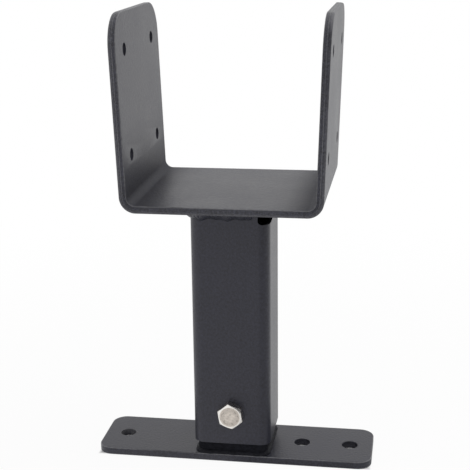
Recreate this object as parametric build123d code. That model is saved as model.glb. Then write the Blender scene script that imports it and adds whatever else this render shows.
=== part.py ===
from build123d import *
import math
import os

# A U bracket for a beam, on a stand whose height can be set. The saddle is bent
# from one plate and welded to a square sleeve. The sleeve slides over a post,
# which is welded to a base plate, and one cross bolt locks the two tubes.
# Sizes are in millimetres and degrees. The origin is the centre of the base
# plate's underside and +Z is up. X runs across the beam and along the base
# plate, and Y runs along the beam, with the bolt's head towards -Y.

# Base plate
plate_length = 228.0
plate_thickness = 6.0
plate_corner_radius = 12.0
plate_weld_margin = 0.4  # plate left outside the weld, at front and back
anchor_hole_diameter = 13.0
anchor_outer_x = 95.0  # one hole near each end
anchor_inner_x = 55.0  # a further hole, at the right end only

# Sleeve: the outer square tube
sleeve_width = 63.5
sleeve_wall = 2.5
sleeve_corner_radius = 9.0
sleeve_length = 203.0
sleeve_foot_gap = 10.0  # from the base plate to the sleeve's open lower end

# Post: the inner square tube
post_clearance = 0.5  # to each inner wall of the sleeve
post_wall = 3.0
post_corner_radius = 6.0
post_hole_rows = 4
post_hole_pitch = 25.0  # one height step
post_end_margin = 26.0  # from the top hole to the post's open upper end

# Saddle: one bent plate
seat_width = 142.0  # between the flanges, at the seat
seat_depth = 140.0
saddle_thickness = 6.0
bend_inner_radius = 6.5
flange_height = 142.0  # above the seat
flange_splay = 2.0  # outward lean of each flange
flange_corner_radius = 26.0
flange_hole_diameter = 9.5
flange_hole_spacing_y = 88.0
flange_hole_spacing_z = 80.0
flange_hole_rise = 34.0  # from the seat to the lower holes

# Welds: a convex fillet around one end of each tube
saddle_weld_drop = 13.0  # leg down the sleeve
saddle_weld_reach = 9.0  # leg out along the saddle
post_weld_leg = 2.6
weld_crown = 0.12  # height of the bead's bulge, as a share of its chord
weld_facets = 4

# Vent: a notch in the sleeve's top corner, at the front right
vent_width = 22.0
vent_height = 16.5
vent_corner_radius = 3.0
vent_turn = 38.0  # from +X towards the front
vent_weld_setback = 1.0  # the bead stops this far from each side of the notch

# Cross bolt, washer and nut
bolt_diameter = 12.0
bolt_rise = 27.0  # from the sleeve's lower end to the bolt's axis
bolt_hole_clearance = 1.0  # on the diameter, in both tubes and the washer
bolt_head_height = 7.5
bolt_stickout = 3.2  # past the nut
bolt_tip_chamfer = 1.2
across_flats = 19.0
hex_chamfer_angle = 30.0
hex_turn = 9.0  # from a corner straight up
washer_diameter = 24.0
washer_thickness = 2.5
nut_height = 10.8
thread_clearance = 0.05  # radial, between the nut's bore and the shank

# What follows from the sizes above
sleeve_bottom_z = plate_thickness + sleeve_foot_gap
sleeve_top_z = sleeve_bottom_z + sleeve_length
seat_z = sleeve_top_z + saddle_thickness
bolt_z = sleeve_bottom_z + bolt_rise
bolt_hole_radius = (bolt_diameter + bolt_hole_clearance) / 2
bolt_length = sleeve_width + washer_thickness + nut_height + bolt_stickout
post_width = sleeve_width - 2 * (sleeve_wall + post_clearance)
post_top_z = bolt_z + (post_hole_rows - 1) * post_hole_pitch + post_end_margin
plate_width = post_width + 2 * (post_weld_leg + plate_weld_margin)

# The planes of the sleeve's front and back walls, facing outward, on the bolt's axis
front_wall = Plane((0, -sleeve_width / 2, bolt_z), x_dir=(1, 0, 0), z_dir=(0, -1, 0))
back_wall = Plane((0, sleeve_width / 2, bolt_z), x_dir=(1, 0, 0), z_dir=(0, 1, 0))


def square_bar(width, corner_radius, bottom_z, top_z):
    """A solid square bar about the Z axis, with round corners."""
    section = RectangleRounded(width, width, corner_radius)
    return extrude(Pos(0, 0, bottom_z) * section, top_z - bottom_z)


def square_tube(width, wall, corner_radius, bottom_z, top_z):
    outside = square_bar(width, corner_radius, bottom_z, top_z)
    inside = square_bar(width - 2 * wall, corner_radius - wall, bottom_z, top_z)
    return outside - inside


def rod(radius, start, end):
    """A cylinder about the Z axis, from one height to another."""
    return extrude(Pos(0, 0, start) * Circle(radius), end - start)


def bolt_hole(z):
    """A clearance hole for the bolt, through both walls of either tube."""
    return Pos(0, sleeve_width, z) * Rot(90, 0, 0) * rod(bolt_hole_radius, 0, 2 * sleeve_width)


def weld_bead(width, corner_radius, reach, leg, face_z, side):
    """A convex fillet weld around a square tube that stands on a face.

    It reaches out along the face and runs a leg along the tube, towards +Z
    where side is 1 and towards -Z where it is -1.
    """
    chord = math.hypot(reach, leg)
    sections = []
    for step in range(weld_facets + 1):
        share = step / weld_facets
        bulge = weld_crown * math.sin(math.pi * share)
        out = reach * share + leg * bulge
        along = leg * (1 - share) + reach * bulge
        ring = RectangleRounded(width + 2 * out, width + 2 * out, corner_radius + out)
        sections.append(Pos(0, 0, face_z + side * along) * ring)
    low_z, high_z = sorted([face_z, face_z + side * leg])
    return loft(sections, ruled=True) - square_bar(width, corner_radius, low_z, high_z)


def vent_notch(width):
    """The cutter of the vent, open at the sleeve's top, through the corner at +X and -Y."""
    turn = math.radians(vent_turn)
    outward = (math.cos(turn), -math.sin(turn), 0)
    sideways = (math.sin(turn), math.cos(turn), 0)
    corner = Plane((0, 0, sleeve_top_z), x_dir=sideways, z_dir=outward)
    mouth = RectangleRounded(width, 2 * vent_height, vent_corner_radius)
    inside = sleeve_width / 2 - 2 * sleeve_wall
    return extrude(corner * Pos(0, 0, inside) * mouth, sleeve_width)


def hexagon(height, cone_both_ends):
    """A hexagonal prism standing on the XY plane, its corners turned to a cone at the top."""
    flat = across_flats / 2
    spread = height / math.tan(math.radians(hex_chamfer_angle))
    prism = extrude(RegularPolygon(flat, 6, major_radius=False, rotation=30 + hex_turn), height)
    base = (Align.CENTER, Align.CENTER, Align.MIN)
    prism = prism & Cone(flat + spread, flat, height, align=base)
    if cone_both_ends:
        prism = prism & Cone(flat, flat + spread, height, align=base)
    return prism


def make_base_plate():
    plate = extrude(RectangleRounded(plate_length, plate_width, plate_corner_radius), plate_thickness)
    for x in (-anchor_outer_x, anchor_inner_x, anchor_outer_x):
        plate -= Pos(x, 0, 0) * rod(anchor_hole_diameter / 2, 0, plate_thickness)
    return plate


def make_post():
    post = square_tube(post_width, post_wall, post_corner_radius, plate_thickness, post_top_z)
    for row in range(post_hole_rows):
        post -= bolt_hole(bolt_z + row * post_hole_pitch)
    return post


def make_post_weld():
    return weld_bead(post_width, post_corner_radius, post_weld_leg, post_weld_leg, plate_thickness, 1)


def make_sleeve():
    sleeve = square_tube(sleeve_width, sleeve_wall, sleeve_corner_radius, sleeve_bottom_z, sleeve_top_z)
    return sleeve - bolt_hole(bolt_z) - vent_notch(vent_width)


def make_saddle_weld():
    bead = weld_bead(
        sleeve_width, sleeve_corner_radius, saddle_weld_reach, saddle_weld_drop, sleeve_top_z, -1
    )
    return bead - vent_notch(vent_width + 2 * vent_weld_setback)


def flange_x(rise, depth):
    """X of a surface of the right flange, at a height above the seat and a depth into the plate."""
    lean = math.radians(flange_splay)
    return seat_width / 2 + rise * math.tan(lean) + depth / math.cos(lean)


def trapezium(low_rise, high_rise, depth):
    """The area between the two flanges' surfaces at one depth, seen along the beam."""
    low_x = flange_x(low_rise, depth)
    high_x = flange_x(high_rise, depth)
    low_z = seat_z + low_rise
    high_z = seat_z + high_rise
    return Polygon((-low_x, low_z), (low_x, low_z), (high_x, high_z), (-high_x, high_z), align=None)


def round_bends(area, radius):
    """Rounds the two lower corners of a trapezium."""
    return fillet(area.vertices().group_by(Axis.Y)[0], radius)


def make_saddle():
    outside = trapezium(-saddle_thickness, flange_height, saddle_thickness)
    inside = trapezium(0, 2 * flange_height, 0)
    bend_outer_radius = bend_inner_radius + saddle_thickness
    profile = round_bends(outside, bend_outer_radius) - round_bends(inside, bend_inner_radius)
    saddle = extrude(Plane.XZ * profile, seat_depth / 2, both=True)
    top_edges = saddle.edges().filter_by(Axis.X).group_by(Axis.Z)[-1]
    saddle = fillet(top_edges, flange_corner_radius)
    reach = flange_x(flange_height, saddle_thickness)
    hole = Rot(0, 90, 0) * rod(flange_hole_diameter / 2, -reach, reach)
    for y in (-flange_hole_spacing_y / 2, flange_hole_spacing_y / 2):
        for rise in (flange_hole_rise, flange_hole_rise + flange_hole_spacing_z):
            saddle -= Pos(0, y, seat_z + rise) * hole
    return saddle


def make_cross_bolt():
    shank = chamfer(rod(bolt_diameter / 2, -bolt_length, 0).edges().group_by(Axis.Z)[0], bolt_tip_chamfer)
    return front_wall * (hexagon(bolt_head_height, False) + shank)


def make_flat_washer():
    washer = rod(washer_diameter / 2, 0, washer_thickness) - rod(bolt_hole_radius, 0, washer_thickness)
    return back_wall * washer


def make_hex_nut():
    nut = hexagon(nut_height, True) - rod(bolt_diameter / 2 + thread_clearance, 0, nut_height)
    return back_wall * Pos(0, 0, washer_thickness) * nut


parts = {
    "base_plate": make_base_plate(),
    "post": make_post(),
    "post_weld": make_post_weld(),
    "sleeve": make_sleeve(),
    "saddle": make_saddle(),
    "saddle_weld": make_saddle_weld(),
    "cross_bolt": make_cross_bolt(),
    "flat_washer": make_flat_washer(),
    "hex_nut": make_hex_nut(),
}

os.makedirs("parts", exist_ok=True)
for name, solid in parts.items():
    export_step(solid, f"parts/{name}.step")
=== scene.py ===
import math

import bmesh
import bpy
import numpy as np
from bpy.props import FloatProperty, FloatVectorProperty, PointerProperty
from bpy.types import Operator, PropertyGroup
from mathutils import Matrix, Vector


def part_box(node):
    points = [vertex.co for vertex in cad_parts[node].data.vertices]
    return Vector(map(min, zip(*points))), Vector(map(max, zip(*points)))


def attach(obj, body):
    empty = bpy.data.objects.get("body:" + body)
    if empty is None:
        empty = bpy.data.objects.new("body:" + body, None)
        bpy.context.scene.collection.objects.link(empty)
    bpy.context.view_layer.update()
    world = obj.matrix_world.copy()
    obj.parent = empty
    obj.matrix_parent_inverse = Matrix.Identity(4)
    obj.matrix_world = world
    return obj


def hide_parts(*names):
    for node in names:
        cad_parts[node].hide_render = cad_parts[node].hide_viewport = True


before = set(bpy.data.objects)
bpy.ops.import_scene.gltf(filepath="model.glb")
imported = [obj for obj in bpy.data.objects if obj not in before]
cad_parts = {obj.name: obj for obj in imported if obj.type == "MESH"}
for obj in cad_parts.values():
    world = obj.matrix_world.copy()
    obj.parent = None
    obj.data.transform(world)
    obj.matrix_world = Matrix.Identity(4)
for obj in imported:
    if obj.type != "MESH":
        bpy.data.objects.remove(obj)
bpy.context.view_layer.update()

# A painted steel U bracket for a beam, on a square sleeve that is bolted over a post with a
# base plate. Lengths are in metres and the origin is the centre of the base plate's underside.
# +Z is up, X runs across the beam and along the base plate, and the bolt's head is towards -Y.

bl_info = {
    "name": "U Bracket",
    "version": (1, 0, 0),
    "blender": (4, 5, 0),
    "location": "3D View > Sidebar > U Bracket",
    "description": "Dresses a U bracket and its stand, piece by piece, in a plain studio",
    "category": "Add Mesh",
}


# ---- sizes and colours

def setting(kind, **limits):
    """Makes settings of one kind, each from its name, description and default."""
    return lambda name, description, default: kind(
        name=name, description=description, default=default, **limits
    )


length = setting(FloatProperty, min=0.0, precision=5, unit="LENGTH")
share = setting(FloatProperty, min=0.0, max=1.0, subtype="FACTOR")
power = setting(FloatProperty, min=0.0, unit="POWER")
colour = setting(FloatVectorProperty, min=0.0, max=1.0, subtype="COLOR")


def angle(name, description, degrees):
    """Makes a setting that is given in degrees and kept in radians."""
    return setting(FloatProperty, subtype="ANGLE")(name, description, math.radians(degrees))


class BracketPlates(PropertyGroup):
    """Sizes of the base plate and the saddle."""

    arris: length("Arris", "Radius of both plates' soft edges", 0.0008)
    roll: length("Roll", "Height of the sheared edge's roll on the saddle", 0.0024)
    base_corner: length("Base corner", "Corner radius of the base plate", 0.012)
    base_grain: share("Base grain", "Grain of its cut sides, as a share of the saddle's", 0.25)
    anchor_diameter: length("Anchor hole", "Diameter of the base plate's holes", 0.013)
    anchor_rim: length("Anchor rim", "Radius of their soft rims", 0.0007)
    anchor_outer: length("Outer anchors", "From the centre to the hole near each end", 0.095)
    anchor_inner: length("Inner anchor", "From the centre to the third hole", 0.055)
    saddle_thickness: length("Saddle thickness", "Thickness of the bent plate", 0.006)
    bend_radius: length("Bend radius", "Inside radius of the two bends", 0.0065)
    # The parting line makes the middle of each flange's cut side lighter, through the painted edge
    # highlight mark
    parting: share("Parting line", "Wear along the middle of each flange's cut side", 0.8)
    nook_rise: length("Nook rise", "How far each bend's rougher coat goes up", 0.030)
    nook_spread: length("Nook spread", "How far that coat goes over the seat", 0.017)
    splay: angle("Splay", "Outward lean of each flange", 2.0)
    flange_corner: length("Flange corner", "Radius of each flange's top corners", 0.026)
    flange_hole: length("Flange hole", "Diameter of the flanges' holes", 0.0095)
    flange_hole_rim: length("Flange hole rim", "Radius of their soft rims", 0.0005)
    flange_hole_rise: length("Hole rise", "From the seat to the lower holes", 0.034)
    flange_hole_pitch_y: length("Hole pitch along beam", "Between two holes of a row", 0.088)
    flange_hole_pitch_z: length("Hole pitch up", "Between the two rows of holes", 0.080)


class BracketTubes(PropertyGroup):
    """Sizes of the sleeve, the post and their welds."""

    rim: length("Rim", "Radius of the tubes' soft ends", 0.0005)
    sleeve_wall: length("Sleeve wall", "Wall of the outer tube", 0.0025)
    sleeve_corner: length("Sleeve corner", "Outside corner radius of the outer tube", 0.009)
    post_wall: length("Post wall", "Wall of the inner tube", 0.003)
    post_corner: length("Post corner", "Outside corner radius of the inner tube", 0.006)
    height_step: length("Height step", "Between two of the post's bolt holes", 0.025)
    bolt_hole: length("Bolt hole", "Diameter of the holes in both tubes", 0.013)
    bolt_hole_rim: length("Bolt hole rim", "Radius of their soft rims", 0.0004)
    vent_width: length("Vent width", "Width of the notch in the sleeve's top corner", 0.022)
    vent_height: length("Vent height", "Height of that notch", 0.0165)
    vent_corner: length("Vent corner", "Radius of its lower corners", 0.003)
    vent_turn: angle("Vent turn", "Its direction, from +X towards the front", 38.0)
    vent_setback: length("Vent setback", "From each of its sides to the weld", 0.001)
    saddle_weld_drop: length("Saddle weld drop", "Leg of the upper weld down the sleeve", 0.013)
    saddle_weld_reach: length("Saddle weld reach", "Leg of the upper weld along the saddle", 0.009)
    post_weld_leg: length("Post weld leg", "Both legs of the lower weld", 0.0026)
    weld_crown: share("Weld crown", "Bulge of each bead as a share of its chord", 0.10)
    ripple_pitch: length("Ripple pitch", "Between two ripples of a bead", 0.0031)
    ripple_depth: length("Ripple depth", "Height of one ripple", 0.0005)


class BracketFixings(PropertyGroup):
    """Sizes of the bolt, its washer and its nut."""

    diameter: length("Bolt diameter", "Outside diameter of the thread", 0.012)
    thread_pitch: length("Thread pitch", "Rise of one turn of the thread", 0.00175)
    thread_length: length("Thread length", "Threaded end of the shank", 0.026)
    neck: length("Neck", "Width of the cone under the bolt's head", 0.0006)
    tip: length("Tip chamfer", "Chamfer of the bolt's end", 0.0012)
    across_flats: length("Across flats", "Width of the bolt's head and the nut", 0.019)
    hex_turn: angle("Hexagon turn", "From a corner straight up, seen from the head", 9.0)
    face: share("Hexagon face", "Diameter of each round face, as a share of the flats", 0.94)
    chamfer: angle("Hexagon chamfer", "Slope of the head's and the nut's corners", 30.0)
    edge: length("Edge", "Radius of the head's and the nut's soft edges", 0.0003)
    washer_edge: length("Washer edge", "Radius of the washer's soft edges", 0.0005)
    nut_mouth: length("Nut mouth", "Countersink of the nut's bore", 0.0008)
    nut_clearance: length("Nut clearance", "Between the bolt's thread and the nut's bore", 0.00005)


class BracketFinish(PropertyGroup):
    """Colours and textures of the paint and the bare metal."""

    coat: colour("Paint", "Colour of the powder coat", (0.016, 0.017, 0.026))
    # Painted highlight: the colour that the coats' edges are lightened towards; it also lightens
    # spots of the cut sides
    highlight_and_fleck: colour("Rubbed paint", "Colour of every coat on its worn edges", (0.18, 0.18, 0.19))
    coat_roughness: share("Paint roughness", "Sheen of the powder coat", 0.39)
    coat_gloss: share("Paint gloss", "Strength of its reflection", 0.55)
    coat_sheen: colour("Paint sheen", "Tint of every coat's reflection", (0.95, 0.93, 1.0))
    cloud_size: length("Cloud size", "Width of every coat's soft patches", 0.045)
    peel_size: length("Peel size", "Width of every coat's orange peel", 0.0020)
    peel_depth: length("Peel depth", "Depth of every coat's orange peel", 0.00022)
    # Painted shade: a darker, less glossy coat for the post and its weld, standing for the shadow
    # in the gap under the sleeve
    post_shade: colour("Dull coat", "Colour of the coat on the post", (0.010, 0.0105, 0.014))
    dull_roughness: share("Dull roughness", "Sheen of the coat on the post", 0.60)
    post_shade_gloss: share("Dull gloss", "Strength of that coat's reflection", 0.15)
    steel: colour("Steel", "Colour of the stainless fixings", (0.55, 0.50, 0.45))
    # Painted highlight: the lighter steel of the bolt head's rim and corners
    bright: colour("Bright steel", "Colour of the stainless where it's rubbed", (0.90, 0.88, 0.85))
    steel_roughness: share("Steel roughness", "Sheen of the stainless fixings", 0.30)
    ring_size: length("Ring size", "Width of the turning marks on it", 1 / 2600)
    mottle_size: length("Mottle size", "Width of the mottle and the stains on it", 0.0016)
    steel_depth: length("Steel depth", "Depth of all the marks on it", 0.00005)


class BracketStudio(PropertyGroup):
    """Light and backdrop."""

    sky: share("Sky", "Strength of the even light", 0.60)
    key: power("Key light", "Power of the soft lamp", 9.0)
    key_size: length("Key size", "Side of the soft lamp's square", 1.6)
    paper: colour("Floor", "Colour of the floor", (0.95, 0.95, 0.95))
    lift: share("Backdrop lift", "How near to white the floor looks", 0.94)
    dim_turn: angle("Dim side", "Its middle, from the front to the right", 58.0)
    dim: share("Dimming", "How much darker that side is in reflections", 0.88)


# ---- surfaces

SAME_POINT = 1e-6  # points closer than this are one
NO_WIDTH = 1e-7  # a face narrower than this is dropped
SOFT_STEPS = 4  # steps in a rounded corner or arris
COLUMNS = 96  # points round a plain turned form
HEX_COLUMNS = 240  # points round the bolt and the nut, enough for crisp corners


def span(node):
    """Lowest and highest corner of a CAD node, as arrays."""
    low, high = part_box(node)
    return np.array(low), np.array(high)


def bolt_height():
    """Height of the bolt's axis."""
    low, high = span("cross_bolt")
    return (low[2] + high[2]) / 2


def evenly(count):
    """Shares of a side for points evenly between its ends."""
    return np.linspace(0, 1, count + 2)[1:-1]


def with_height(flat, height):
    """Level points, with their heights as a third coordinate."""
    height = np.broadcast_to(height, flat.shape[:2])
    return np.concatenate([flat, height[..., None]], axis=-1)


def grid_faces(rows, columns, close_rows):
    """Quads between neighbours of a grid, whose columns close on themselves."""
    row = np.arange(rows if close_rows else rows - 1)[:, None]
    column = np.arange(columns)
    here, above = row * columns, (row + 1) % rows * columns
    beside = (column + 1) % columns
    corners = [here + column, here + beside, above + beside, above + column]
    return np.stack(corners, axis=-1).reshape(-1, 4)


def new_object(name, data):
    """A new object in the scene."""
    item = bpy.data.objects.new(name, data)
    bpy.context.scene.collection.objects.link(item)
    return item


def shell(name, points, close_rows=False, edge=0.0, nook=0.0, sheared=0.0):
    """A closed mesh over a grid of points, with rows that meet in a pole or a line merged.

    Its marks for the materials run from 0 to 1: edge is the painted highlight on the edges, nook
    the nearness to an inside corner, and sheared the rough grain of the cut sides.
    """
    mesh = bpy.data.meshes.new(name)
    faces = grid_faces(*points.shape[:2], close_rows)
    mesh.from_pydata(points.reshape(-1, 3).tolist(), [], faces.tolist())
    for mark, values in (("edge", edge), ("nook", nook), ("sheared", sheared)):
        values = np.broadcast_to(values, points.shape[:2]).astype(np.float32)
        mesh.attributes.new(mark, "FLOAT", "POINT").data.foreach_set("value", values.ravel())
    merge(mesh)
    return new_object(name, mesh)


def merge(mesh):
    """Merges the points that meet, drops the faces that this flattens, and turns the rest out."""
    tidy = bmesh.new()
    tidy.from_mesh(mesh)
    bmesh.ops.remove_doubles(tidy, verts=tidy.verts, dist=SAME_POINT)
    bmesh.ops.dissolve_degenerate(tidy, edges=tidy.edges, dist=NO_WIDTH)
    bmesh.ops.recalc_face_normals(tidy, faces=tidy.faces)
    tidy.to_mesh(mesh)
    tidy.free()


def cut(piece, cutters):
    """Takes the volume of each cutter out of a piece, and removes the cutters."""
    for cutter in cutters:
        hollow = piece.modifiers.new(cutter.name, "BOOLEAN")
        hollow.operation = "DIFFERENCE"
        hollow.solver = "EXACT"
        hollow.object = cutter
    graph = bpy.context.evaluated_depsgraph_get()
    carved = bpy.data.meshes.new_from_object(
        piece.evaluated_get(graph), preserve_all_data_layers=True, depsgraph=graph
    )
    if len(carved.vertices) == 0:
        raise RuntimeError(f"nothing is left of {piece.name}")
    merge(carved)
    piece.modifiers.clear()
    piece.data = carved
    for cutter in cutters:
        bpy.data.objects.remove(cutter)


def dress(piece, node, material, sharp=40.0):
    """Smooths a piece, gives it its finish, and lets it stand for a CAD node.

    Edges that turn by more than the sharp angle, in degrees, stay crisp.
    """
    mesh = piece.data
    mesh.shade_smooth()
    mesh.set_sharp_from_angle(angle=math.radians(sharp))
    flatten = piece.modifiers.new("even_faces", "WEIGHTED_NORMAL")
    flatten.keep_sharp = True
    mesh.materials.clear()
    mesh.materials.append(material)
    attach(piece, "root")
    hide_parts(node)


def round_outline(half_x, half_y, radius, x_shares, y_shares, corner_steps=12):
    """Points and outward normals round a rounded rectangle, anticlockwise.

    A corner is its centre plus radius times (cos, sin) over a quarter turn. The side that follows
    is a straight run to the next corner, with points at the given shares of its length.
    """
    turn = np.linspace(0, math.pi / 2, corner_steps + 1) + np.arange(4)[:, None] * math.pi / 2
    normal = np.stack([np.cos(turn), np.sin(turn)], axis=-1)
    centre = np.array([[1, 1], [-1, 1], [-1, -1], [1, -1]]) * (half_x - radius, half_y - radius)
    arc = centre[:, None] + radius * normal
    points, normals = [], []
    for corner, shares in enumerate((x_shares, y_shares) * 2):
        start, end = arc[corner, -1], arc[(corner + 1) % 4, 0]
        side = start + shares[:, None] * (end - start)
        points += [arc[corner], side]
        normals += [normal[corner], np.broadcast_to(normal[corner, -1], side.shape)]
    return np.concatenate(points), np.concatenate(normals)


def soft_edge(arris, roll, thickness):
    """Inset, height, painted highlight and sheared share over a plate's edge, from its upper face
    down.

    The arris of each face is a quarter ellipse: the inset is a * (1 - sin t), the height comes in
    by b * (1 - cos t) and the painted highlight is sin 2t. Above, a and b are the arris. Below, b
    is the roll that the shears leave, a is half of it, and the highlight is less as the roll is
    wider.
    One more row on each face, twice as far in, keeps it flat, and three lie along the middle of the
    cut side.
    """
    line_share = 0.06  # half the width of those three rows, as a share of the thickness
    turn = np.linspace(0, math.pi / 2, SOFT_STEPS + 1)
    inset = [np.append(2 * a, a * (1 - np.sin(turn))) for a in (arris, roll / 2)]
    height = [thickness / 2 - np.append(0, b * (1 - np.cos(turn))) for b in (arris, roll)]
    highlighted = np.append(0, np.sin(2 * turn))
    sheared = np.append(0, turn * 2 / math.pi)
    middle = line_share * thickness * np.array([1, 0, -1])
    rows = (
        (inset[0], 0 * middle, inset[1]),
        (height[0], middle, -height[1]),
        (highlighted, 0 * middle, arris / roll * highlighted),
        (sheared, 0 * middle + 1, sheared),
    )
    return [np.concatenate([upper, line, lower[::-1]]) for upper, line, lower in rows]


def flat_plate(half_x, half_y, corner, thickness, arris, roll, x_shares, y_shares):
    """Points, painted highlight and sheared share of a plate with soft edges, lying flat about the
    origin.

    The rounded rectangle is drawn in by the inset of each row of the soft edge. The first and the
    last row are its middle line, to which both faces close.
    """
    outline, normal = round_outline(half_x, half_y, corner, x_shares, y_shares)
    inset, height, highlighted, sheared = soft_edge(arris, roll, thickness)
    edge = outline - inset[:, None, None] * normal
    reach = half_x - half_y
    middle = np.clip(outline, (-reach, 0), (reach, 0))[None]
    flat = np.concatenate([middle, edge, middle])
    points = with_height(flat, np.pad(height, 1, mode="edge")[:, None])
    return points, np.pad(highlighted, 1)[:, None], np.pad(sheared, 1)[:, None]


def square_wall(half, corner, wall, low, high, rim):
    """Points of a square tube: its rounded-square outline drawn in, row by row, round the wall.

    The wall's own outline is a slot-shaped loop: up the outside, over the top rim as two quarter
    circles, down the inside and back under the bottom rim.
    """
    rim_steps, side_points = 3, 7
    turn = np.linspace(0, math.pi / 2, rim_steps + 1)
    out, up = rim * (1 - np.cos(turn)), rim * (1 - np.sin(turn))
    inset = np.concatenate([out, wall - out[::-1], wall - out, out[::-1]])
    height = np.concatenate([high - up, high - up[::-1], low + up, low + up[::-1]])
    shares = evenly(side_points)
    outline, normal = round_outline(half, half, corner, shares, shares)
    flat = outline - inset[:, None, None] * normal
    return with_height(flat, height[:, None])


def turned(radius, height, origin, axis, columns=COLUMNS):
    """Points of a turned form: radius * (cos, sin) round an axis through an origin, at each height.

    Both may also vary round the axis, as a hexagon's do.
    """
    axis = np.array(axis, dtype=float)
    side = np.cross(axis, (0, 0, 1.0) if abs(axis[2]) < 0.9 else (1.0, 0, 0))
    side /= np.linalg.norm(side)
    turn = np.arange(columns) * 2 * math.pi / columns
    ring = np.cos(turn)[:, None] * side + np.sin(turn)[:, None] * np.cross(axis, side)
    radius = np.broadcast_to(radius, (len(radius), columns))
    height = np.broadcast_to(height, (len(height), columns))
    return np.array(origin) + radius[..., None] * ring + height[..., None] * axis


def vent_directions(sizes):
    """The way out through the vent, and the way along it, as level unit vectors."""
    turn = sizes.vent_turn
    return np.array([math.cos(turn), -math.sin(turn)]), np.array([math.sin(turn), math.cos(turn)])


def spool(name, origin, axis, radius, depth, flare):
    """A cutter for a hole with soft rims: a rod that swells at each face.

    The swell is flare * (1 - cos t) wide at flare * (1 - sin t) under the face, and its painted
    highlight is sin 2t. It stops short of a quarter circle, and a plain end stands out of the face.
    """
    full_turn, columns, overshoot = math.radians(75), 48, 4 * flare
    turn = np.linspace(0, full_turn, SOFT_STEPS + 1)
    swell = radius + flare * (1 - np.cos(turn))
    level = depth / 2 - flare * (1 - np.sin(turn))
    end = depth / 2 + overshoot
    halves = np.array([
        [*swell, radius + flare, 0],
        [*level, end, end],
        [*np.sin(2 * turn), 0, 0],
    ])
    sides = np.array([[1], [-1], [1]]) * halves[:, ::-1]
    radii, levels, highlighted = np.concatenate([sides, halves], axis=1)[..., None]
    return shell(name, turned(radii, levels, origin, axis, columns), edge=highlighted)


def close_ends(points):
    """Draws the first and the last row of a grid together, each to its own middle."""
    points[[0, -1]] = points[[0, -1]].mean(axis=1, keepdims=True)
    return points


def soft_section(columns, radius, *corners):
    """How far out and how far up the rows of a turned form are, from its section's corners.

    A corner is a pair of numbers or of values round the form. All but the first and the last are
    rounded: the corner c becomes the curve (1 - t)^2 * a + 2t(1 - t) * c + t^2 * b. Its ends a and
    b are the radius away from c, or 45% of the shorter side next to it where that is less.
    """
    most = 0.45
    rows = [[np.broadcast_to(value, columns) for value in corner] for corner in corners]
    corners = np.moveaxis(np.array(rows), 1, 2)
    before, here, after = corners[:-2], corners[1:-1], corners[2:]
    back, ahead = before - here, after - here
    back_length = np.linalg.norm(back, axis=-1, keepdims=True)
    ahead_length = np.linalg.norm(ahead, axis=-1, keepdims=True)
    reach = np.minimum(radius, most * np.minimum(back_length, ahead_length))
    start = here + back / back_length * reach
    end = here + ahead / ahead_length * reach
    t = np.linspace(0, 1, SOFT_STEPS + 1).reshape(-1, *([1] * here.ndim))
    curve = (1 - t) ** 2 * start + 2 * t * (1 - t) * here + t**2 * end
    curve = np.moveaxis(curve, 0, 1).reshape(-1, *here.shape[1:])
    return np.moveaxis(np.concatenate([corners[:1], curve, corners[-1:]]), -1, 0)


def hexagon(across_flats, turn):
    """Radius of a hexagon with barely rounded corners, round its centre.

    It is the level line of a sum of high powers: half the width across flats, divided by the
    120th root of the sum, over the six flats, of the 120th power of the cosine from each.
    """
    exponent = 120
    around = np.arange(HEX_COLUMNS) * 2 * math.pi / HEX_COLUMNS
    flats = np.arange(6) * math.pi / 3
    facing = np.maximum(np.cos(around[:, None] - flats - turn), 0)
    return across_flats / 2 / np.sum(facing**exponent, axis=1) ** (1 / exponent)


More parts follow.
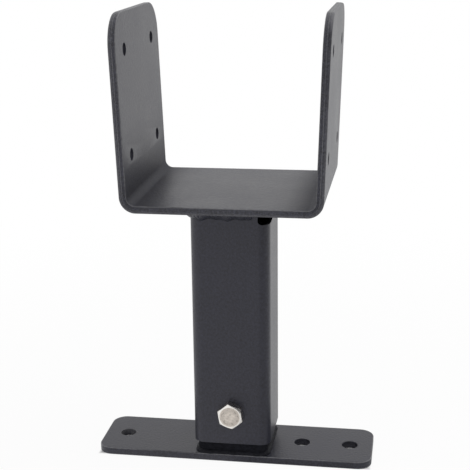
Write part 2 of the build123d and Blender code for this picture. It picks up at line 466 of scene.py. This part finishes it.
def weld_bead(half, corner, reach, leg, face_z, side, sizes, gap=None):
    """Points of a weld round a square tube: a fillet's section carried round a rounded square.

    The section's face is the chord between its two legs plus a sine bulge and the ripples. A
    ripple is 1 - (2p - 1)^2, with p the place between two creases, which lag at the bead's edges.
    Sines of the run make the pitch and the toes wander. Over a gap, given as a direction and a
    half width, there is no bead, and at each side of it the section shrinks to its root like a
    quarter circle.
    """
    side_points, corner_steps, face_rows = 200, 60, 15
    end_share = 0.4  # length of the bead's round ends, of the chord
    lag_share = 0.9  # how far the creases lag at the edges, of a ripple
    full_chord = 0.008  # the ripples of a smaller bead are lower
    toe_power = 0.4  # keeps the ripples high almost to the edges
    root_depth = 0.0004  # how far the bead goes into the tube
    shares = evenly(side_points)
    outline, normal = round_outline(half, half, corner, shares, shares, corner_steps)
    chord = math.hypot(reach, leg)
    size = 1.0
    if gap:
        outward, half_width = gap
        sideways = np.array([-outward[1], outward[0]])
        clear = (outline @ outward < 0) | (np.abs(outline @ sideways) > half_width)
        first = np.flatnonzero(clear & ~np.roll(clear, 1))[0]
        order = np.roll(np.arange(len(clear)), -first)
        order = order[clear[order]]
        outline, normal = outline[order], normal[order]
    step = np.linalg.norm(np.roll(outline, -1, axis=0) - outline, axis=1)
    run = np.cumsum(step) - step
    if gap:
        ends = np.minimum(run, run[-1] - run) / (end_share * chord)
        size = np.sqrt(1 - (1 - np.clip(ends, 0, 1)) ** 2)
    turns = 2 * math.pi * run / step.sum()
    ripples = round(step.sum() / sizes.ripple_pitch)
    across = np.linspace(0, 1, face_rows)[:, None]
    lag = lag_share * (2 * across - 1) ** 2
    drift = 0.25 * np.sin(7 * turns) + 0.2 * np.sin(17 * turns + 1)  # in ripples
    place = (ripples * turns / (2 * math.pi) + drift - lag) % 1
    depth = sizes.ripple_depth * min(1, chord / full_chord)
    ripple = depth * (1 - (2 * place - 1) ** 2) * np.sin(math.pi * across) ** toe_power
    wander = 1 + 0.05 * np.sin(11 * turns) + 0.04 * np.sin(23 * turns + 2)  # of each leg
    bulge = sizes.weld_crown * chord * np.sin(math.pi * across) + ripple
    out = (reach * across * wander + bulge * leg / chord) * size
    along = (leg * (1 - across) * (2 - wander) + bulge * reach / chord) * size
    root = -root_depth * np.ones_like(out[:1])
    out = np.concatenate([root, root, out, out[-1:]])
    along = np.concatenate([root, along[:1], along, root])
    flat = outline + out[..., None] * normal
    points = np.swapaxes(with_height(flat, face_z + side * along), 0, 1)
    return close_ends(points) if gap else points


# ---- materials

class Wire:
    """One output of a node, on which Python's arithmetic adds Math nodes."""

    def __init__(self, maker, socket):
        self.maker = maker
        self.socket = socket

    def math(self, operation, *others):
        return self.maker.add("Math", dict(enumerate((self, *others))), operation=operation)

    def __add__(self, other):
        return self.math("ADD", other)

    def __sub__(self, other):
        return self.math("SUBTRACT", other)

    def __mul__(self, other):
        return self.math("MULTIPLY", other)

    def __rsub__(self, other):
        return self.maker.add("Math", {0: other, 1: self}, operation="SUBTRACT")

    __radd__ = __add__
    __rmul__ = __mul__


class Maker:
    """Adds nodes to one node tree."""

    def __init__(self, tree):
        self.tree = tree
        tree.nodes.clear()

    def add(self, kind, sockets=None, output=0, **settings):
        """Adds a node of a kind, sets its settings, then its sockets' values or links."""
        node = self.tree.nodes.new("ShaderNode" + kind)
        for name, value in settings.items():
            setattr(node, name, value)
        for key, value in (sockets or {}).items():
            if isinstance(value, Wire):
                self.tree.links.new(value.socket, node.inputs[key])
            else:
                node.inputs[key].default_value = value
        return Wire(self, node.outputs[output]) if len(node.outputs) else node

    def mark(self, name):
        """A mark that the mesh carries from point to point."""
        return self.add("Attribute", output="Fac", attribute_name=name)

    def noise(self, place, size, detail=2.0, roughness=0.5):
        """Noise about 0.5, of a size in metres."""
        sockets = {"Vector": place, "Scale": 1 / size, "Detail": detail, "Roughness": roughness}
        return self.add("TexNoise", sockets)

    def vector(self, operation, *values, output=0):
        """Vector Math on places, directions and constant vectors."""
        return self.add("VectorMath", dict(enumerate(values)), output, operation=operation)

    def bumps(self, depth, relief):
        """A normal from a relief whose full height is the depth."""
        return self.add("Bump", {"Strength": 1.0, "Distance": depth, "Height": relief})

    def blend(self, factor, first, second):
        """A colour between two others."""
        first, second = (c if isinstance(c, Wire) else (*c, 1) for c in (first, second))
        return self.add("Mix", {0: factor, 6: first, 7: second}, 2, data_type="RGBA")

    def step(self, value, low, high):
        """A smooth step from 0 to 1 between two values."""
        sockets = {"Value": value, "From Min": low, "From Max": high}
        return self.add("MapRange", sockets, interpolation_type="SMOOTHSTEP")


def shaded(name):
    """A new material, the maker of its nodes, and the place on the object."""
    material = bpy.data.materials.new(name)
    material.use_nodes = True
    maker = Maker(material.node_tree)
    return material, maker, maker.add("TexCoord", output="Object")


def coated(name, base, roughness, gloss):
    """Satin coat: soft patches, orange peel and fine grit, with lighter specks.

    The cut sides have more of the peel and the grit. Edges get a painted highlight, lighter where
    the patches leave them bare, and spots of the cut sides are lighter too. The inside corners are
    rougher.
    """
    if name in bpy.data.materials:
        return bpy.data.materials[name]
    finish = bpy.context.scene.bracket_finish
    material, maker, place = shaded(name)
    edge, nook, sheared = (maker.mark(mark) for mark in ("edge", "nook", "sheared"))
    cloud = maker.noise(place, finish.cloud_size, 3.0)
    peel = maker.noise(place, finish.peel_size, 2.0, 0.45)
    grit = maker.noise(place, finish.peel_size / 3, 2.0, 0.6)

    # The 1.20 and the 0.14 take the noises' means off, so that the plain coat stays as given
    rugged = 1 + 1.5 * sheared
    grain = (0.40 * cloud + peel + grit - 1.20) * rugged
    specks = maker.step(grit, 0.66, 0.80)
    darkest, lightest = (tuple(part * np.array(base)) for part in (0.1, 1.9))
    paint = maker.blend(0.5 + grain + 0.6 * specks, darkest, lightest)

    # Painted highlight: the soft edges and hole rims are lightened towards the highlight colour
    edge_highlight = edge * maker.step(cloud, 0.2, 0.6) * (0.4 + peel)
    side_rub = 0.3 * sheared * maker.step(grit, 0.48, 0.62)
    sheen = roughness - 0.14 + 0.10 * cloud + 0.14 * peel + 0.04 * grit + 0.30 * nook
    relief = (peel + 0.35 * grit) * rugged
    surface = maker.add("BsdfPrincipled", {
        "Base Color": maker.blend(edge_highlight + side_rub, paint, finish.highlight_and_fleck),
        "Roughness": sheen,
        "Specular IOR Level": gloss,
        "Specular Tint": (*finish.coat_sheen, 1),
        "Normal": maker.bumps(finish.peel_depth, relief),
    })
    maker.add("OutputMaterial", {"Surface": surface})
    return material


def powder_coat():
    """The charcoal powder coat of the saddle and its weld, the sleeve and the base plate."""
    finish = bpy.context.scene.bracket_finish
    return coated("charcoal_powder_coat", finish.coat, finish.coat_roughness, finish.coat_gloss)


def post_shade_coat():
    """Painted shade: a darker, less glossy coat on the post and its weld, for the shadow under the
    sleeve.
    """
    finish = bpy.context.scene.bracket_finish
    return coated("post_painted_shade_coat", finish.post_shade, finish.dull_roughness, finish.post_shade_gloss)


def stainless():
    """Plain stainless steel: turning marks about the bolt's axis, a faint mottle and dull stains.

    The stains lie mostly in a slightly raised band round each face, which fades in and out at
    shares of half the width across flats. The edges carry a painted highlight in a lighter steel.
    """
    finish = bpy.context.scene.bracket_finish
    material, maker, place = shaded("stainless_steel")
    edge = maker.mark("edge")
    away = maker.vector("SUBTRACT", place, (0.0, 0.0, bolt_height()))
    flat = maker.vector("MULTIPLY", away, (1.0, 0.0, 1.0))
    radius = maker.vector("LENGTH", flat, output="Value")
    sockets = {"W": radius, "Scale": 1 / finish.ring_size, "Detail": 2.0}
    rings = maker.add("TexNoise", sockets, noise_dimensions="1D")
    mottle = maker.noise(place, finish.mottle_size, 4.0, 0.6)

    flats = bpy.context.scene.bracket_fixings.across_flats / 2
    inside = maker.step(radius, 0.72 * flats, 0.82 * flats)
    band = maker.step(radius, 0.44 * flats, 0.56 * flats) - inside
    stain = maker.step(mottle, 0.46, 0.62) * (0.12 + 0.88 * band)
    stains, darker, lighter = (tuple(part * np.array(finish.steel)) for part in (0.2, 0.8, 1.3))
    plain = maker.blend(maker.step(mottle, 0.3, 0.7), darker, lighter)
    stained = maker.blend(0.6 * stain, plain, stains)
    sheen = finish.steel_roughness - 0.10 + 0.20 * mottle + 0.06 * rings - 0.10 * edge
    relief = 0.4 * rings + mottle + band
    surface = maker.add("BsdfPrincipled", {
        # Painted highlight: the edge mark lightens the bolt head's rim and corners
        "Base Color": maker.blend(edge, stained, finish.bright),
        "Metallic": 1.0,
        "Roughness": sheen,
        "Normal": maker.bumps(finish.steel_depth, relief),
    })
    maker.add("OutputMaterial", {"Surface": surface})
    return material


# ---- operators

class BracketBasePlate(Operator):
    """Makes the base plate with its three anchor holes"""

    bl_idname = "bracket.base_plate"
    bl_label = "Base plate"

    def execute(self, context):
        sizes = context.scene.bracket_plates
        low, high = span("base_plate")
        middle, half, thickness = (low + high) / 2, (high - low) / 2, high[2] - low[2]
        shares = evenly(23)
        # The plate's soft edges carry the painted highlight mark
        points, highlighted, sheared = flat_plate(
            half[0], half[1], sizes.base_corner, thickness, sizes.arris, sizes.arris,
            shares, shares[::3],
        )
        grain = sizes.base_grain * sheared
        plate = shell("base_plate_visual", points + middle, edge=highlighted, sheared=grain)
        cut(plate, [
            spool(
                "anchor_cutter", (x, 0, middle[2]), (0, 0, 1),
                sizes.anchor_diameter / 2, thickness, sizes.anchor_rim,
            )
            for x in (-sizes.anchor_outer, sizes.anchor_inner, sizes.anchor_outer)
        ])
        dress(plate, "base_plate", powder_coat())
        return {"FINISHED"}


class BracketTubePair(Operator):
    """Makes the inner post and the outer sleeve, with their bolt holes and the sleeve's vent"""

    bl_idname = "bracket.tubes"
    bl_label = "Post and sleeve"

    def execute(self, context):
        sizes = context.scene.bracket_tubes
        axis_z = bolt_height()
        _, high = span("post")
        rows = np.arange(axis_z, high[2], sizes.height_step)
        post = self.tube(sizes, "post", sizes.post_corner, sizes.post_wall, rows, nook=1.0)
        # The post takes the painted-shade coat
        dress(post, "post", post_shade_coat())
        vent = self.vent(sizes)
        sleeve = self.tube(sizes, "sleeve", sizes.sleeve_corner, sizes.sleeve_wall, [axis_z], vent)
        dress(sleeve, "sleeve", powder_coat())
        return {"FINISHED"}

    @staticmethod
    def tube(sizes, node, corner, wall, rows, *cutters, nook=0.0):
        """A square tube with bolt holes through its front and back walls, at each row's height."""
        low, high = span(node)
        half, radius, rim = high[0], sizes.bolt_hole / 2, sizes.bolt_hole_rim
        points = square_wall(half, corner, wall, low[2], high[2], sizes.rim)
        tube = shell(f"{node}_visual", points, close_rows=True, nook=nook)
        holes = [
            spool("bolt_hole_cutter", (0, y, z), (0, 1, 0), radius, wall, rim)
            for z in rows
            for y in (wall / 2 - half, half - wall / 2)
        ]
        cut(tube, [*cutters, *holes])
        return tube

    @staticmethod
    def vent(sizes):
        """A cutter through one corner: a rounded rectangle about the sleeve's top, carried level.

        A point of it lies at depth * outward + across * sideways, at its own height.
        """
        _, high = span("sleeve")
        middle = evenly(1)
        mouth, _ = round_outline(
            sizes.vent_width / 2, sizes.vent_height, sizes.vent_corner, middle, middle
        )
        outward, sideways = vent_directions(sizes)
        start, end = high[0] - 2 * sizes.sleeve_wall, 2 * high[0]
        depth = np.array([start, start, end, end])
        flat = depth[:, None, None] * outward + mouth[:, :1] * sideways
        return shell("vent_cutter", close_ends(with_height(flat, high[2] + mouth[:, 1])))


class BracketSaddle(Operator):
    """Makes the saddle, bent from one plate, with four holes in each flange"""

    bl_idname = "bracket.saddle"
    bl_label = "Saddle"

    def execute(self, context):
        sizes = context.scene.bracket_plates
        low, high = span("saddle")
        thickness, splay = sizes.saddle_thickness, sizes.splay
        turn = math.pi / 2 - splay
        middle_radius = sizes.bend_radius + thickness / 2
        seat_z = low[2] + thickness
        rise = high[2] - seat_z
        seat_half = high[0] - rise * math.tan(splay) - thickness / math.cos(splay)

        # Along the flat plate, from its middle: the floor, then the bend, then the flange
        floor_half = seat_half - sizes.bend_radius * math.tan(turn / 2)
        bend_run = middle_radius * turn
        flange_run = (rise - sizes.bend_radius * (1 - math.cos(turn))) / math.sin(turn)
        end = floor_half + bend_run + flange_run
        side_end = end - sizes.flange_corner
        stops = (side_end, floor_half + bend_run, floor_half, 0)
        steps = (11, 12, 7)
        along = np.concatenate([
            np.linspace(start, stop, count + 1)[1:]
            for start, stop, count in zip(stops, stops[1:], steps)
        ])
        along = np.concatenate([along, -along[-2::-1]])
        points, highlighted, sheared = flat_plate(
            end, high[1], sizes.flange_corner, thickness, sizes.arris, sizes.roll,
            (side_end - along) / (2 * side_end), evenly(11),
        )

        # The parting line fades in round each bend. The nook falls off like a bell from the
        # bend's middle, and is wider up the flange than over the seat.
        run, height = np.abs(points[..., 0]), points[..., 2]
        along_flange = np.clip((run - floor_half) / bend_run, 0, 1)
        # The painted edge highlight, with the parting line added lighter along the middle of each
        # flange's cut side
        highlighted = highlighted + sizes.parting * along_flange * (height == 0) * sheared
        past_bend = run - floor_half - bend_run / 2
        spread = np.where(past_bend > 0, sizes.nook_rise, sizes.nook_spread)
        nook = (height > 0) * np.exp(-((past_bend / spread) ** 2))
        points = self.bend(points, floor_half, middle_radius, turn, seat_z - thickness / 2)
        saddle = shell("saddle_visual", points, edge=highlighted, nook=nook, sheared=sheared)
        cut(saddle, self.flange_holes(sizes, seat_half, seat_z))
        dress(saddle, "saddle", powder_coat())
        return {"FINISHED"}

    @staticmethod
    def flange_holes(sizes, seat_half, seat_z):
        """Cutters for two rows of two holes in each flange, square to the leaning plate."""
        slope, across = math.tan(sizes.splay), sizes.saddle_thickness / math.cos(sizes.splay)
        low, half_pitch = sizes.flange_hole_rise, sizes.flange_hole_pitch_y / 2
        cutters = []
        for side in (-1, 1):
            outward = (side * math.cos(sizes.splay), 0, -math.sin(sizes.splay))
            for y in (-half_pitch, half_pitch):
                for rise in (low, low + sizes.flange_hole_pitch_z):
                    middle = (side * (seat_half + rise * slope + across / 2), y, seat_z + rise)
                    cutters.append(spool(
                        "flange_cutter", middle, outward,
                        sizes.flange_hole / 2, sizes.saddle_thickness, sizes.flange_hole_rim,
                    ))
        return cutters

    @staticmethod
    def bend(points, floor_half, radius, turn, middle_z):
        """Bends a flat plate up at both sides.

        A point keeps its place along the beam. Past the flat floor it goes round an arc of its own
        radius, the middle radius less its height, and past the bend it runs on straight.
        """
        run, depth = np.abs(points[..., 0]), points[..., 2]
        lift = np.clip((run - floor_half) / radius, 0, turn)
        beyond = np.maximum(run - floor_half - radius * turn, 0)
        x = np.minimum(run, floor_half) + (radius - depth) * np.sin(lift) + beyond * math.cos(turn)
        z = radius - (radius - depth) * np.cos(lift) + beyond * math.sin(turn)
        return np.stack([np.sign(points[..., 0]) * x, points[..., 1], middle_z + z], axis=-1)


class BracketWelds(Operator):
    """Makes the rippled welds under the saddle and round the post's foot"""

    bl_idname = "bracket.welds"
    bl_label = "Welds"

    def execute(self, context):
        sizes = context.scene.bracket_tubes
        _, high = span("sleeve")
        outward, _ = vent_directions(sizes)
        points = weld_bead(
            high[0], sizes.sleeve_corner, sizes.saddle_weld_reach, sizes.saddle_weld_drop,
            high[2], -1, sizes, (outward, sizes.vent_width / 2 + sizes.vent_setback),
        )
        bead = shell("saddle_weld_visual", points)
        dress(bead, "saddle_weld", powder_coat(), sharp=80.0)

        low, high = span("post")
        points = weld_bead(
            high[0], sizes.post_corner, sizes.post_weld_leg, sizes.post_weld_leg, low[2], 1, sizes
        )
        bead = shell("post_weld_visual", points, close_rows=True)
        # The post's weld takes the painted-shade coat too
        dress(bead, "post_weld", post_shade_coat(), sharp=80.0)
        return {"FINISHED"}


class BracketFixingSet(Operator):
    """Makes the cross bolt, its washer and its nut"""

    bl_idname = "bracket.fixings"
    bl_label = "Bolt, washer and nut"

    def execute(self, context):
        sizes = context.scene.bracket_fixings
        low, high = span("cross_bolt")
        axis_z = bolt_height()
        _, sleeve_high = span("sleeve")
        head_height = -sleeve_high[1] - low[1]
        hexagonal = hexagon(sizes.across_flats, sizes.hex_turn)
        face = sizes.face * sizes.across_flats / 2
        drop = (hexagonal - face) * math.tan(sizes.chamfer)
        steel = stainless()

        radius, height, highlighted = self.bolt(
            sizes, hexagonal, face, drop, head_height, high[1] - low[1] - head_height
        )
        start = (0, -sleeve_high[1], axis_z)
        points = turned(radius, height, start, (0, -1, 0), HEX_COLUMNS)
        bolt = shell("cross_bolt_visual", points, edge=highlighted)
        dress(bolt, "cross_bolt", steel, sharp=35.0)

        low, high = span("flat_washer")
        hole, outside, top = context.scene.bracket_tubes.bolt_hole / 2, high[0], high[1] - low[1]
        loop = soft_section(
            COLUMNS, sizes.washer_edge, (hole, top / 2), (hole, top), (outside, top),
            (outside, 0), (hole, 0), (hole, top / 2),
        )[:, :-1]
        points = turned(*loop, (0, low[1], axis_z), (0, 1, 0))
        washer = shell("flat_washer_visual", points, close_rows=True)
        dress(washer, "flat_washer", steel)

        low, high = span("hex_nut")
        top, flare = high[1] - low[1], sizes.nut_mouth
        bore, mouth = sizes.diameter / 2 + sizes.nut_clearance, sizes.diameter / 2 + flare
        loop = soft_section(
            HEX_COLUMNS, sizes.edge, (bore, top / 2), (bore, top - flare), (mouth, top),
            (face, top), (hexagonal, top - drop), (hexagonal, drop), (face, 0), (mouth, 0),
            (bore, flare), (bore, top / 2),
        )[:, :-1]
        points = turned(*loop, (0, low[1], axis_z), (0, 1, 0), HEX_COLUMNS)
        nut = shell("hex_nut_visual", points, close_rows=True)
        dress(nut, "hex_nut", steel, sharp=35.0)
        return {"FINISHED"}

    @staticmethod
    def bolt(sizes, hexagonal, face, drop, head_height, reach):
        """Radius, height and painted highlight of the bolt's rows, from the middle of its face to
        its tip.

        Heights run from 0 under the head up to its face and down the shank by its reach. The
        thread is a helix: its depth is a clipped triangle wave of the height over the pitch plus
        the share of a turn. The tip's chamfer takes off as much as it is high.
        """
        # How strongly the face's rim and the hexagon's edges get the painted highlight
        rim_highlight, corner_highlight = 0.95, 0.6
        face_share = 0.88  # a row that keeps the face flat inside its rim
        depth_share, flank, root = 0.6134, 1.3, 0.15  # of the pitch, and of the wave
        plain_rows, thread_rows = 3, 190
        neck_height = 0.0005
        shank, thread_start = sizes.diameter / 2, sizes.thread_length - reach
        head_radius, head_rise = soft_section(
            HEX_COLUMNS, sizes.edge, (0, head_height), (face_share * face, head_height),
            (face, head_height), (hexagonal, head_height - drop), (hexagonal, 0),
            (shank + sizes.neck, 0),
        )

        plain = np.linspace(-neck_height, thread_start, plain_rows + 1)[:-1]
        thread = np.linspace(thread_start, -reach, thread_rows)
        heights = np.concatenate([plain, thread])[:, None]
        turn = np.arange(HEX_COLUMNS) / HEX_COLUMNS
        wave = np.abs(2 * ((heights / sizes.thread_pitch + turn) % 1) - 1)
        depth = depth_share * sizes.thread_pitch * np.clip(flank * wave - root, 0, 1)
        depth = depth * (heights < thread_start)
        chamfer = np.maximum(sizes.tip - (heights + reach), 0)
        body = np.minimum(shank - depth, shank - chamfer)
        heights = np.broadcast_to(heights, body.shape)
        radius = np.concatenate([head_radius, body, 0 * body[-1:]])
        height = np.concatenate([head_rise, heights, heights[-1:]])

        # Each corner of the head has become a few rows: the second corner is the face's rim, and
        # the next two are the hexagon's edges, which get the painted highlight
        corner = (np.arange(len(radius))[:, None] - 1) // (SOFT_STEPS + 1)
        highlighted = np.select([corner == 1, (corner == 2) | (corner == 3)], [rim_highlight, corner_highlight], 0)
        return radius, height, highlighted


class BracketStage(Operator):
    """Sets the floor, the light and the camera"""

    bl_idname = "bracket.stage"
    bl_label = "Studio"

    def execute(self, context):
        scene = context.scene
        studio = scene.bracket_studio
        self.floor(studio)
        self.sky(scene, studio)
        self.key_light(studio)
        scene.camera = self.camera()
        scene.view_settings.view_transform = "Standard"
        return {"FINISHED"}

    @staticmethod
    def key_light(studio):
        """A large square lamp, high on the right, facing the bracket."""
        lamp = bpy.data.lights.new("key_light", "AREA")
        lamp.shape = "SQUARE"
        lamp.size = studio.key_size
        lamp.energy = studio.key
        round_stand, inward, backward = (math.radians(a) for a in (35, 32, 8))
        new_object("key_light", lamp).matrix_world = (
            Matrix.Rotation(round_stand, 4, "Z")
            @ Matrix.Translation((0.9, -0.3, 1.7))
            @ Matrix.Rotation(inward, 4, "Y")
            @ Matrix.Rotation(backward, 4, "X")
        )

    @staticmethod
    def camera():
        """A long lens in front of the bracket, a little to the right and above it."""
        lens = bpy.data.cameras.new("camera")
        lens.sensor_width = 36.0
        lens.lens = 88.09
        camera = new_object("camera", lens)
        yaw, pitch, roll = (math.radians(a) for a in (9.191, 15.620, -0.689))
        camera.matrix_world = (
            Matrix.Translation((0.14280, -0.88364, 0.43560))
            @ Matrix.Rotation(yaw, 4, "Z")
            @ Matrix.Rotation(math.pi / 2 - pitch, 4, "X")
            @ Matrix.Rotation(roll, 4, "Z")
        )
        return camera

    @staticmethod
    def seen(maker, studio, way):
        """1 for the camera, 0 for light on its way to the object, and the room for reflections.

        The room is white but for one dim side. There it is darker by the dimming, times a smooth
        step of the cosine between the level way out and the middle of that side.
        """
        outer_edge, inner_edge = 0.35, 0.84  # cosines of about 70 and 33 degrees
        camera, glossy, through = (
            maker.add("LightPath", output=name)
            for name in ("Is Camera Ray", "Is Glossy Ray", "Is Transmission Ray")
        )
        level = maker.vector("NORMALIZE", maker.vector("MULTIPLY", way, (1.0, 1.0, 0.0)))
        middle = (math.sin(studio.dim_turn), -math.cos(studio.dim_turn), 0.0)
        facing = maker.vector("DOT_PRODUCT", level, middle, output="Value")
        room = glossy * (1 - studio.dim * maker.step(facing, outer_edge, inner_edge))
        return camera.math("MAXIMUM", room).math("MAXIMUM", through)

    def floor(self, studio):
        """A plain round floor, lifted to white where it is only looked at.

        Near the bracket it keeps a share of its own light and shadow, and far out none. Under the
        base plate, and so in its holes, it isn't lifted at all.
        """
        radius, drop = 6.0, 0.0001
        near, far = 0.2, 0.8  # where the lift begins to rise, and where it is full
        border = 0.0025  # the width over which the lift comes in, just inside the base plate
        mesh = bpy.data.meshes.new("floor")
        rim = turned([radius], [0], (0, 0, -drop), (0, 0, 1))[0]
        mesh.from_pydata(rim.tolist(), [], [range(COLUMNS)])
        material, maker, place = shaded("paper")
        _, high = span("base_plate")
        beyond_x, beyond_y = (
            maker.add("SeparateXYZ", {0: place}, axis).math("ABSOLUTE") - edge
            for axis, edge in zip("XY", high)
        )
        clear = beyond_x.math("MAXIMUM", beyond_y) * (1 / border) + 1
        clear = clear.math("MAXIMUM", 0.0).math("MINIMUM", 1.0)
        away = maker.vector("LENGTH", place, output="Value")
        lift = studio.lift + (1 - studio.lift) * maker.step(away, near, far)
        lift = self.seen(maker, studio, place) * clear * lift
        paper = maker.add("BsdfDiffuse", {"Color": (*studio.paper, 1)})
        white = maker.add("Emission", {"Color": (1, 1, 1, 1), "Strength": 1.0})
        surface = maker.add("MixShader", {0: lift, 1: paper, 2: white})
        maker.add("OutputMaterial", {"Surface": surface})
        mesh.materials.append(material)
        floor = new_object("floor", mesh)

    def sky(self, scene, studio):
        """White where it is seen, the room where it is mirrored, and even light elsewhere."""
        world = bpy.data.worlds.new("studio")
        world.use_nodes = True
        scene.world = world
        maker = Maker(world.node_tree)
        way = maker.add("TexCoord", output="Generated")
        mirrored = maker.add("LightPath", output="Is Glossy Ray")
        seen = self.seen(maker, studio, way)
        light, dark, white = (
            maker.add("Background", {"Color": (1, 1, 1, 1), "Strength": strength})
            for strength in (studio.sky, 0.0, 1.0)
        )
        unseen = maker.add("MixShader", {0: mirrored, 1: light, 2: dark})
        surface = maker.add("MixShader", {0: seen, 1: unseen, 2: white})
        maker.add("OutputWorld", {"Surface": surface})


class BracketPanel(bpy.types.Panel):
    """Lists the pieces, sizes and colours of the bracket"""

    bl_idname = "VIEW3D_PT_bracket"
    bl_label = "U Bracket"
    bl_space_type = "VIEW_3D"
    bl_region_type = "UI"
    bl_category = "U Bracket"

    def draw(self, context):
        for operator in OPERATORS:
            self.layout.operator(operator.bl_idname)
        for name in GROUPS:
            box = self.layout.box()
            group = getattr(context.scene, name)
            for key in group.__annotations__:
                box.prop(group, key)


GROUPS = {
    "bracket_plates": BracketPlates,
    "bracket_tubes": BracketTubes,
    "bracket_fixings": BracketFixings,
    "bracket_finish": BracketFinish,
    "bracket_studio": BracketStudio,
}
OPERATORS = (
    BracketBasePlate, BracketTubePair, BracketSaddle, BracketWelds, BracketFixingSet, BracketStage,
)
CLASSES = (*GROUPS.values(), *OPERATORS, BracketPanel)


def register():
    for item in CLASSES:
        bpy.utils.register_class(item)
    for name, group in GROUPS.items():
        setattr(bpy.types.Scene, name, PointerProperty(type=group))


def unregister():
    for name in GROUPS:
        delattr(bpy.types.Scene, name)
    for item in reversed(CLASSES):
        bpy.utils.unregister_class(item)


def main():
    register()
    bpy.ops.bracket.base_plate()
    bpy.ops.bracket.tubes()
    bpy.ops.bracket.saddle()
    bpy.ops.bracket.welds()
    bpy.ops.bracket.fixings()
    bpy.ops.bracket.stage()


if __name__ == "__main__":
    main()
